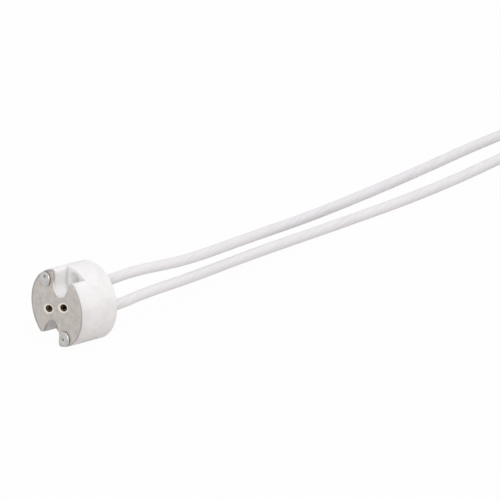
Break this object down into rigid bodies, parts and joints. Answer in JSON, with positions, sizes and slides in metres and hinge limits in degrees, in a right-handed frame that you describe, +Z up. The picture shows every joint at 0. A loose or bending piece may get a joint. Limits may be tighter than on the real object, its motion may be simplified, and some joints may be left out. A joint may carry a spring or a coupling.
{
  "type": "ceramic lamp holder",
  "caption": "Round white ceramic lamp holder with a riveted mica front cover, pin holes, screw notches in its rim and insulated leads from its rear face.",
  "frame": {"origin": "on the floor under the middle of the holder's own box, leads left out", "axes": "+Z up, the front cover faces -Y, the leads leave along +Y, +X is to the right when looking at the front"},
  "size_m": [0.0631, 0.2124, 0.0175],
  "materials": {
    "white_ceramic": "satin unglazed ceramic",
    "mica_sheet": "flaky grey-beige mica",
    "rivet_metal": "pressed bright metal",
    "contact_strip": "plated spring strip",
    "tinned_strands": "tinned twisted strands",
    "lead_insulation": "smooth white insulation"
  },
  "bodies": {
    "root": {"ceramic_body": "white_ceramic", "mica_cover": "mica_sheet", "rivets": "rivet_metal", "left_contact": "contact_strip", "right_contact": "contact_strip", "upper_lead_core": "tinned_strands", "lower_lead_core": "tinned_strands", "upper_lead": "lead_insulation", "lower_lead": "lead_insulation", "upper_lead_tip": "tinned_strands", "lower_lead_tip": "tinned_strands"}
  },
  "joints": []
}
